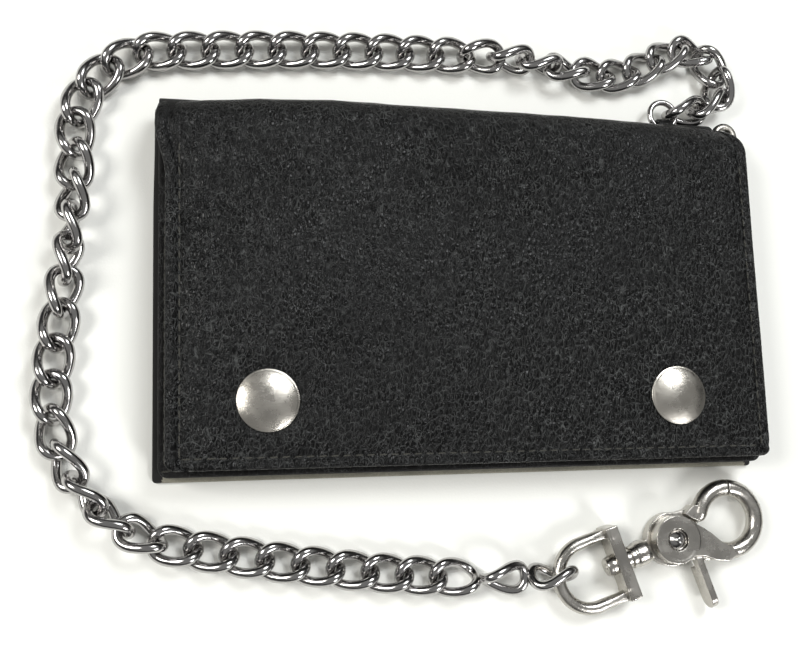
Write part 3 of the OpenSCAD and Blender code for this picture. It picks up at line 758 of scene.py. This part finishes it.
def repeat_tree(name, sizes, shape):
    """A tree that sets one shape on every point, turned by the point's own turn."""
    tree = bpy.data.node_groups.new(name, "GeometryNodeTree")
    tree.interface.new_socket("Geometry", in_out="INPUT", socket_type="NodeSocketGeometry")
    tree.interface.new_socket("Geometry", in_out="OUTPUT", socket_type="NodeSocketGeometry")
    for size in sizes:
        tree.interface.new_socket(size, in_out="INPUT", socket_type="NodeSocketFloat")
    tree.interface.new_socket("Material", in_out="INPUT", socket_type="NodeSocketMaterial")
    given = add(tree, "NodeGroupInput").outputs
    form = add(tree, "GeometryNodeSetShadeSmooth", {"Geometry": shape(tree, given)}).outputs[0]
    turn = add(tree, "GeometryNodeInputNamedAttribute", {"Name": "turn"}, data_type="FLOAT_VECTOR")
    rotation = add(tree, "FunctionNodeEulerToRotation", {0: turn.outputs["Attribute"]}).outputs[0]
    placed = add(tree, "GeometryNodeInstanceOnPoints", {
        "Points": given["Geometry"], "Instance": form, "Rotation": rotation}).outputs[0]
    real = add(tree, "GeometryNodeRealizeInstances", {"Geometry": placed}).outputs[0]
    painted = add(tree, "GeometryNodeSetMaterial", {"Geometry": real, "Material": given["Material"]}).outputs[0]
    add(tree, "NodeGroupOutput", {"Geometry": painted})
    return tree


def swept(tree, path, profile):
    return add(tree, "GeometryNodeCurveToMesh", {
        "Curve": path, "Profile Curve": profile, "Fill Caps": True}).outputs[0]


def round_profile(tree, radius, sides):
    return add(tree, "GeometryNodeCurvePrimitiveCircle", {"Resolution": sides, "Radius": radius}).outputs[0]


def link_shape(tree, given):
    """A curb link: a long ring of round wire, twisted so that both ends lie flat against the next."""
    ring = add(tree, "GeometryNodeCurvePrimitiveCircle", {"Resolution": 48, "Radius": 1.0}).outputs[0]
    at = add(tree, "ShaderNodeSeparateXYZ", {0: add(tree, "GeometryNodeInputPosition").outputs[0]}).outputs
    bent = add(tree, "ShaderNodeCombineXYZ", {
        0: maths(tree, "MULTIPLY", at[0], given["Half Length"]),
        1: maths(tree, "MULTIPLY", at[1], given["Half Width"]),
        2: maths(tree, "MULTIPLY", maths(tree, "MULTIPLY", at[0], at[1]),
            maths(tree, "MULTIPLY", given["Twist"], 2.0))}).outputs[0]
    path = add(tree, "GeometryNodeSetPosition", {"Geometry": ring, "Position": bent}).outputs[0]
    return swept(tree, path, round_profile(tree, given["Wire Radius"], 12))


def stitch_shape(tree, given):
    """One stitch: a short arch of thread whose ends dive into their holes."""
    half = maths(tree, "MULTIPLY", given["Length"], 0.5)
    back_half = maths(tree, "MULTIPLY", given["Length"], -0.5)
    sunk = maths(tree, "MULTIPLY", given["Thread Radius"], -1.3)
    crown = maths(tree, "MULTIPLY", given["Thread Radius"], 1.5)
    start = add(tree, "ShaderNodeCombineXYZ", {0: back_half, 2: sunk}).outputs[0]
    middle = add(tree, "ShaderNodeCombineXYZ", {2: crown}).outputs[0]
    end = add(tree, "ShaderNodeCombineXYZ", {0: half, 2: sunk}).outputs[0]
    path = add(tree, "GeometryNodeCurveQuadraticBezier", {
        "Resolution": 5, "Start": start, "Middle": middle, "End": end}).outputs[0]
    return swept(tree, path, round_profile(tree, given["Thread Radius"], 6))


def tooth_shape(tree, given):
    """One zip tooth: a short bar across the tape with rounded edges."""
    half = maths(tree, "MULTIPLY", given["Length"], 0.5)
    back_half = maths(tree, "MULTIPLY", given["Length"], -0.5)
    path = add(tree, "GeometryNodeCurvePrimitiveLine", {
        "Start": add(tree, "ShaderNodeCombineXYZ", {1: back_half}).outputs[0],
        "End": add(tree, "ShaderNodeCombineXYZ", {1: half}).outputs[0]}).outputs[0]
    block = add(tree, "GeometryNodeCurvePrimitiveQuadrilateral", {
        "Width": given["Width"], "Height": given["Height"]}).outputs[0]
    rounded = add(tree, "GeometryNodeFilletCurve", {
        "Curve": block, "Radius": 0.0003, "Count": 2}, mode="POLY").outputs[0]
    return swept(tree, path, rounded)


def grow(name, tree, spots, sizes, material, body, nodes=()):
    """Runs a repeating tree over spots, each a place in millimetres and a turn, as one plain mesh."""
    mesh = bpy.data.meshes.new(name)
    mesh.from_pydata([Vector(place) * MM for place, turn in spots], [], [])
    turns = mesh.attributes.new("turn", "FLOAT_VECTOR", "POINT")
    turns.data.foreach_set("vector", [c for place, turn in spots for c in turn])
    seedling = bpy.data.objects.new(name + "_points", mesh)
    bpy.context.collection.objects.link(seedling)
    run = seedling.modifiers.new("repeat", "NODES")
    run.node_group = tree
    for item in tree.interface.items_tree:
        if item.in_out == "INPUT" and item.name in sizes:
            run[item.identifier] = sizes[item.name]
        elif item.in_out == "INPUT" and item.name == "Material":
            run[item.identifier] = material
    piece = baked(seedling, name)
    if nodes:
        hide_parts(*nodes)
    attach(piece, body)
    return piece


def islands(node):
    """The separate solids of a CAD node, each as an array of its points in millimetres."""
    work = bmesh.new()
    work.from_mesh(frame["nodes"][node].data)
    bmesh.ops.remove_doubles(work, verts=work.verts, dist=WELD_GAP)
    found, seen = [], set()
    for first in work.verts:
        if first in seen:
            continue
        stack, solid = [first], []
        seen.add(first)
        while stack:
            vert = stack.pop()
            solid.append([c * 1000 for c in vert.co])
            for edge in vert.link_edges:
                other = edge.other_vert(vert)
                if other not in seen:
                    seen.add(other)
                    stack.append(other)
        found.append(np.array(solid))
    work.free()
    return found


LINK_SIZES = {"Half Length": 5.8 * MM, "Half Width": 3.8 * MM, "Twist": -1.6 * MM, "Wire Radius": 1.3 * MM}


def make_chain():
    tree = repeat_tree("curb_links", list(LINK_SIZES), link_shape)
    for node in sorted(n for n in frame["nodes"] if n.startswith("chain_") and n[6:].isdigit()):
        spots = []
        for solid in islands(node):
            middle = solid.mean(0)
            across = np.linalg.svd(solid - middle, full_matrices=False)[2]
            along, wide = (Vector(a) * Vector((1, 1, -1)) for a in across[:2])
            turn = Matrix((along, wide, along.cross(wide))).transposed()
            spots.append((middle, turn.to_euler("XYZ")))
        grow(node + "_links", tree, spots, LINK_SIZES, NICKEL, node, [node])


STITCH_TREE = repeat_tree("stitches", ["Length", "Thread Radius"], stitch_shape)


def seam(path, face=1, pitch=3.0):
    """Spots for stitches along a path of points; face is 1 on top of a piece and -1 below it."""
    path = [Vector(p) for p in path]
    spots, left_over, rng = [], pitch * 0.5, random.Random(len(path) + int(path[0].x * 7))
    for a, b in zip(path, path[1:]):
        run = b - a
        while left_over < run.length:
            way = run.normalized()
            side = Vector((0, 0, face)).cross(way).normalized()
            up = way.cross(side)
            slant = Matrix.Rotation(rng.uniform(-0.06, 0.06) + 0.05, 3, "Z")
            turn = Matrix((way, side, up)).transposed() @ slant
            spots.append((a + way * left_over, turn.to_euler("XYZ")))
            left_over += pitch
        left_over -= run.length
    return spots


# The cover's last rows, which lie on the flap
FLAP_ROWS = 96


def surface_z(x, y):
    """Height of the cover's outside over a place on the flap."""
    flap_rows = cover_grid[-FLAP_ROWS:]
    gap = (flap_rows[:, :, 0] - x) ** 2 + (flap_rows[:, :, 1] - y) ** 2
    near = np.unravel_index(np.argmin(gap), gap.shape)
    return flap_rows[near][2]


def make_stitching():
    size = {"Length": 2.35 * MM, "Thread Radius": 0.2 * MM}
    left, right, bottom = flap_low[0] + SEAM_LEFT, flap_high[0] - SEAM_RIGHT, flap_low[1] + SEAM_BOTTOM
    top, step = 34.0, 1.5
    ups, acrosses = np.arange(top, bottom, -step), np.arange(left, right, step)
    runs = [[(x, y, surface_z(x, y) + 0.02) for x, y in line] for line in (
        [(left, y) for y in ups], [(x, bottom) for x in acrosses], [(right, y) for y in ups])]
    spots = sum((seam(run) for run in runs), [])
    grow("flap_stitches", STITCH_TREE, spots, size, THREAD, "flap")
    back_inset, back_top, z = 2.6, 38, -0.02
    x0, x1, y0 = back_low[0] + back_inset, back_high[0] - back_inset, back_low[1] + back_inset
    spots = seam([(x0, back_top, z), (x0, y0, z), (x1, y0, z), (x1, back_top, z)], -1)
    low, high = box_mm("coin_front")
    band_low, band_high = box_mm("coin_top_band")
    z = high[2] - 0.03
    x0, x1, y0, y1 = low[0] + INSET, high[0] - INSET, low[1] + INSET, high[1] - INSET
    spots += seam([(x0, y1, z), (x0, y0, z), (x1, y0, z), (x1, y1, z), (x0, y1, z)])
    z = band_high[2] - 0.03
    for y in (band_low[1] + INSET, band_high[1] - INSET):
        spots += seam([(x0, y, z), (x1, y, z)])
    grow("wallet_stitches", STITCH_TREE, spots, size, THREAD, "wallet")
    inside = []
    for node in ("window_frame", "card_slot_1", "card_slot_2", "card_slot_3"):
        low, high = box_mm(node)
        z = low[2] + 0.04
        x0, x1, y0, y1 = low[0] + INSET, high[0] - INSET, low[1] + INSET, high[1] - INSET
        if node == "window_frame":
            inside += seam([(x0, y0, z), (x1, y0, z), (x1, y1, z), (x0, y1, z), (x0, y0, z)], -1)
        else:
            inside += seam([(low[0] + 2, high[1] - 2.2, z), (high[0] - 2, high[1] - 2.2, z)], -1)
            inside += seam([(x0, high[1] - 3, z), (x0, high[1] - 12, z)], -1)
    grow("card_stitches", STITCH_TREE, inside, size, THREAD, "flap")


def make_zip():
    size = {"Width": 1.5 * MM, "Height": 1.3 * MM, "Length": 2.6 * MM}
    tree = repeat_tree("zip_teeth", list(size), tooth_shape)
    spots = [(solid.mean(0), (0, 0, 0)) for solid in islands("zip_teeth")]
    grow("zip_tooth_rows", tree, spots, size, ZIP_METAL, "wallet", ["zip_teeth"])
    soft_sheet("zip_tape_cloth", "zip_tape", "wallet", [ZIP_CLOTH, ZIP_CLOTH], 17)
    cast_piece("zip_slider_body", "zip_slider", "zip_slider", 0.12, 4, ZIP_METAL)
    cast_piece("zip_pull_tab", "zip_pull", "zip_pull", 0.09, 3, ZIP_METAL)
    finish_node("zip_stops", ZIP_METAL, 0.3)


# ---------------------------------------------------------------- the cast hook

HOOK_AT = [c * 1000 for c in joint("hook_swivel")["pos_m"]]
HOOK_WAY = joint("hook_swivel")["axis"]


def hook_frame(points):
    """Points in the hook's own frame: X along the post, from the pivot, in millimetres."""
    x, y = points[:, 0] * 1000 - HOOK_AT[0], points[:, 1] * 1000 - HOOK_AT[1]
    c, n = HOOK_WAY[0], HOOK_WAY[1]
    return np.stack([c * x + n * y, c * y - n * x, points[:, 2] * 1000], 1)


def from_hook_frame(x, y, z):
    """A point of the hook's own frame, in metres in the shared frame."""
    return Vector((HOOK_AT[0] + HOOK_WAY[0] * x - HOOK_WAY[1] * y,
        HOOK_AT[1] + HOOK_WAY[1] * x + HOOK_WAY[0] * y, z)) * MM


def cast_piece(name, node, body, voxel, rounds, material, dress=None, webs=()):
    """A casting: the node's form and any webs, each an outline with its lower and upper height in the
    hook's own frame, melted together with round edges and dressed where a function is given."""
    mesh = frame["nodes"][node].data.copy()
    mesh.materials.clear()
    work = bmesh.new()
    work.from_mesh(mesh)
    for outline, low, high in webs:
        rings = [[work.verts.new(from_hook_frame(x, y, z)) for x, y in outline] for z in (low, high)]
        work.faces.new(rings[0][::-1])
        work.faces.new(rings[1])
        for k in range(len(outline)):
            j = (k + 1) % len(outline)
            work.faces.new((rings[0][k], rings[0][j], rings[1][j], rings[1][k]))
    work.to_mesh(mesh)
    work.free()
    mesh.materials.append(material)
    rough = bpy.data.objects.new(name + "_rough", mesh)
    bpy.context.collection.objects.link(rough)
    weld = rough.modifiers.new("weld", "WELD")
    weld.merge_threshold = WELD_GAP
    melt = rough.modifiers.new("melt", "REMESH")
    melt.mode, melt.voxel_size, melt.use_smooth_shade = "VOXEL", voxel * MM, True
    soften = rough.modifiers.new("soften", "SMOOTH")
    soften.factor, soften.iterations = 0.5, rounds
    piece = baked(rough, name)
    if dress:
        count = len(piece.data.vertices)
        points, normals = np.zeros(count * 3), np.zeros(count * 3)
        piece.data.vertices.foreach_get("co", points)
        piece.data.vertices.foreach_get("normal", normals)
        points, normals = points.reshape(-1, 3), normals.reshape(-1, 3)
        points += normals * (dress(hook_frame(points), normals) * MM)[:, None]
        piece.data.vertices.foreach_set("co", points.ravel())
        piece.data.update()
    if not piece.data.materials:
        piece.data.materials.append(material)
    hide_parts(node)
    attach(piece, body)
    return piece


def dress_body(at, normals):
    """A plain collar on the post, and a ring pressed in the post's shortened head."""
    radius = np.hypot(at[:, 1], at[:, 2] - HOOK_AT[2])
    collar = smoothstep(-12.6, -11.6, at[:, 0]) * smoothstep(-8.0, -9.4, at[:, 0])
    depth = 0.35 * collar * (radius > 1.2)
    depth -= 1.3 * smoothstep(-20.7, -22.1, at[:, 0])
    depth -= 0.3 * bell(radius - 1.35, 0.28) * (at[:, 0] < -20.6)
    return depth


def dress_jaw(at, normals):
    """The jaw's round face has a raised rim and a faintly hammered middle."""
    radius = np.hypot(at[:, 0], at[:, 1])
    flat = smoothstep(0.7, 0.95, normals[:, 2])
    depth = -0.06 * smoothstep(5.7, 5.2, radius) * flat * (radius < 6.2)
    depth += 0.02 * ripple(at[:, 0], at[:, 1], 3.0, 12) * flat
    return depth


def dress_eye(at, normals):
    """The eye's wire grows a little round its bend and swells into the bar's shoulders."""
    swell = 0.22 * bell(at[:, 0] + 18.6, 2.2) * smoothstep(6.4, 7.6, np.abs(at[:, 1]))
    thicker = 0.42 * smoothstep(-17.5, -26.0, at[:, 0])
    return swell + thicker + 0.02 * ripple(at[:, 0], at[:, 1], 4.0, 21)


def make_hook():
    shoulders = [([(-18.4, -9.9), (-15.1, -9.9), (-15.1, 9.9), (-18.4, 9.9)], 0.7, 7.1)]
    for side in (1, -1):
        arm = [(-25.0, side * 8.2), (-15.4, side * 7.2), (-15.4, side * 10.0), (-25.0, side * 9.0)]
        shoulders.append((arm[::side], 2.7, 5.1))
    cast_piece("swivel_eye_loop", "swivel_eye", "swivel_eye", 0.17, 7, CAST_NICKEL,
        dress_eye, shoulders)
    root = [([(6.6, 3.7), (8.7, 1.9), (10.9, 3.0), (11.6, 5.4), (8.6, 6.6), (5.4, 5.3)], 1.3, 5.6)]
    cast_piece("hook_post_and_jaw", "hook_body", "hook", 0.15, 7, CAST_NICKEL, dress_body, root)
    plate = [([(-2, -5.9), (3, -5.9), (5.8, -6.8), (8.5, -9.0), (12.0, -10.6), (15.5, -9.9), (14.2, -7.3),
        (11.6, -4.6), (9.8, -1.6), (8.0, 0.6), (5.5, 3.2), (2.0, 5.9), (4.0, 0.0), (3.2, -3.0)], 4.9, 7.35)]
    cast_piece("trigger_and_snap_ring", "trigger_jaw", "jaw", 0.17, 8, CAST_NICKEL, dress_jaw, plate)
    low, high = box_mm("pivot_rivet")
    head = high[2]
    rivet = [(0, head), (0.5, head - 0.03), (0.8, head - 0.16), (0.92, head - 0.36), (1.05, head - 0.42),
        (2.2, head - 1.28), (2.45, head - 1.5), (2.4, head - 1.68), (1.5, head - 1.7), (1.5, low[2]),
        (0, low[2])]
    lathe("pivot_rivet_head", [middle_mm("pivot_rivet")], rivet, NICKEL, "hook", ["pivot_rivet"], 48)
    finish_node("trigger_spring", SPRING_STEEL)


# ---------------------------------------------------------------- the wallet's inside

def make_inside():
    hide = [INNER_HIDE, DARK_EDGE]
    soft_sheet("bill_lining_cloth", "bill_lining", "wallet", [LINING, LINING], 41)
    panels = (("bill_divider_leather", "bill_divider"), ("coin_back_leather", "coin_back"),
        ("coin_front_leather", "coin_front"), ("coin_top_leather", "coin_top_band"))
    for seed, (name, node) in enumerate(panels, 42):
        soft_sheet(name, node, "wallet", hide, seed)
    soft_sheet("flap_lining_cloth", "flap_lining", "flap", [LINING, LINING], 46, visible=-1)
    soft_sheet("card_panel_leather", "card_panel", "flap", hide, 47, visible=-1)
    for n in (1, 2, 3):
        soft_sheet(f"card_slot_{n}_leather", f"card_slot_{n}", "flap", hide, 50 + n,
            visible=-1, pocket_edge=True)
    low, high = box_mm("window_frame")
    rim = 6.0
    opening = (low[0] + rim, low[1] + rim, high[0] - rim, high[1] - rim)
    soft_sheet("window_frame_leather", "window_frame", "flap", hide, 57, opening, visible=-1)
    soft_sheet("id_window_film", "id_window", "flap", [FILM, FILM], 58)
    finish_node("coin_gusset", INNER_HIDE, 0.3)
    finish_node("corner_tab", HIDE, 0.35, 4)
    finish_node("chain_tab", HIDE, 0.3, 4)
    finish_node("wallet_ring", NICKEL)
    finish_node("snap_rivets", CAP_NICKEL, 0.2)


make_fold_lining()
make_inside()
make_snaps()
make_zip()
make_chain()
make_stitching()
make_hook()
